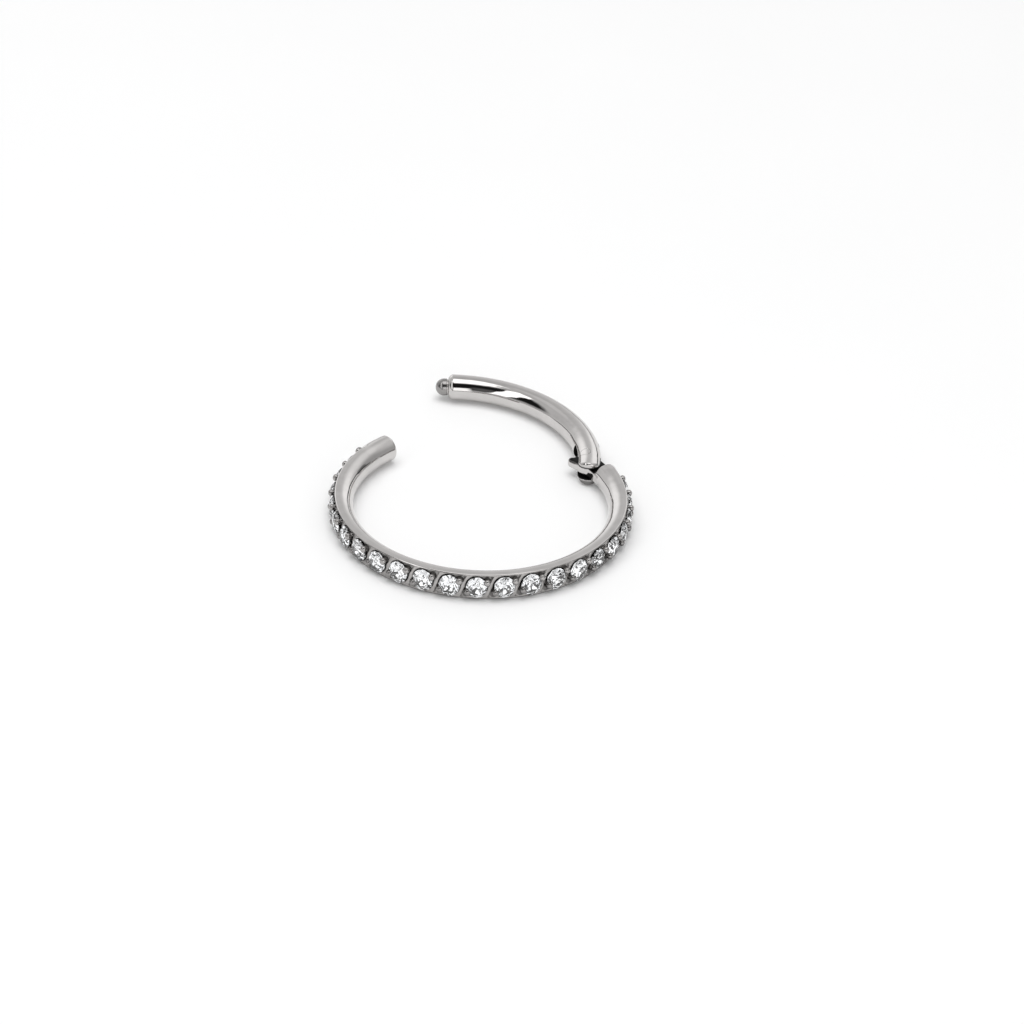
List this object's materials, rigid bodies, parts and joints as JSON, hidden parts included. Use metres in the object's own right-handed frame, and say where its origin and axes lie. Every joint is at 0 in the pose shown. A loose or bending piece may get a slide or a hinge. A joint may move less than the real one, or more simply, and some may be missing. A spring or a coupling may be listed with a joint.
{
  "type": "hinged clicker ring",
  "caption": "Small round body ring with a hinged plain segment that clicks shut on a nub, and a row of round stones set along its flat outer face.",
  "frame": {"origin": "on the closed ring's axis, at the plane the ring rests on", "axes": "+Z is the ring's axis and points up from the plane it lies on; the middle of the stone row faces -Y; the hinge is in the +X +Y quarter and the opening in the +Y half"},
  "size_m": [0.0144, 0.0185, 0.0013],
  "materials": {
    "steel": "polished steel",
    "stones": "clear faceted stone"
  },
  "bodies": {
    "arc": {"fixed_arc": "steel", "paved_stones": "stones"},
    "segment": {"hinged_segment": "steel", "hinge_pin": "steel"}
  },
  "joints": [
    {"name": "hinge", "type": "hinge", "parent": "arc", "child": "segment", "pos_m": [0.0049, 0.00417, 0.00066], "axis": [0, 0, 1], "range_deg": [-56, 39]}
  ]
}
